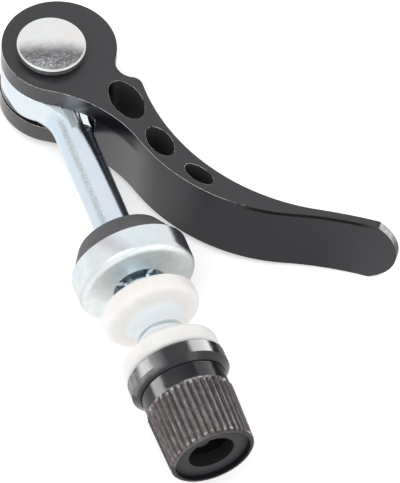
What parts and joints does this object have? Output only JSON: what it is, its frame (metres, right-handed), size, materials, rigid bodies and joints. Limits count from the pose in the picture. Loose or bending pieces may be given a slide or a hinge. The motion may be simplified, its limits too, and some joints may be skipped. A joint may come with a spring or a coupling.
{
  "type": "seatpost clamp",
  "caption": "Quick-release seatpost clamp: a forked cam lever on an eye bolt, with a thrust pad in a steel cup, nylon bushes and a knurled nut.",
  "frame": {"origin": "where the pivot pin's axis crosses the rod's axis, at the middle of the lever's width", "axes": "+Z along the pivot pin's axis, up through its domed head as the clamp lies; -Y along the rod, from the pivot to the nut; +X to the side that the lever's arm leans to"},
  "size_m": [0.0505, 0.0854, 0.019],
  "materials": {
    "lever": "black anodised, satin, worn bright on the edges",
    "pivot_pin": "zinc plated and scratched",
    "eye_bolt": "bright zinc plate with a rough strip along one side",
    "thrust_pad": "matt black moulded nylon",
    "cup_washer": "bright zinc plate",
    "bush": "natural nylon, slightly translucent",
    "nut": "black, glossy on the collar and worn on the knurl",
    "nut_insert": "dark grey nylon"
  },
  "bodies": {
    "eye_bolt": {"eye_bolt": "eye_bolt"},
    "lever": {"lever": "lever", "pivot_pin": "pivot_pin"},
    "cup": {"cup_washer": "cup_washer", "thrust_pad": "thrust_pad"},
    "inner_bush": {"inner_bush": "bush"},
    "outer_bush": {"outer_bush": "bush"},
    "nut": {"nut": "nut", "nut_insert": "nut_insert"}
  },
  "joints": [
    {"name": "lever_turn", "type": "hinge", "parent": "eye_bolt", "child": "lever", "pos_m": [0, 0, 0], "axis": [0, 0, 1], "range_deg": [0, 250]},
    {"name": "cup_slide", "type": "slide", "parent": "eye_bolt", "child": "cup", "axis": [0, 1, 0], "range_m": [0, 0.01]},
    {"name": "inner_bush_slide", "type": "slide", "parent": "eye_bolt", "child": "inner_bush", "axis": [0, 1, 0], "range_m": [0, 0.0032]},
    {"name": "nut_travel", "type": "slide", "parent": "eye_bolt", "child": "outer_bush", "axis": [0, -1, 0], "range_m": [-0.0006, 0.007]},
    {"name": "nut_turn", "type": "hinge", "parent": "outer_bush", "child": "nut", "pos_m": [0, -0.059, 0], "axis": [0, -1, 0], "range_deg": [-215, 2520]}
  ],
  "couplings": [
    {"joint": "nut_travel", "follows": "nut_turn", "m_per_rad": 0.00015915}
  ]
}
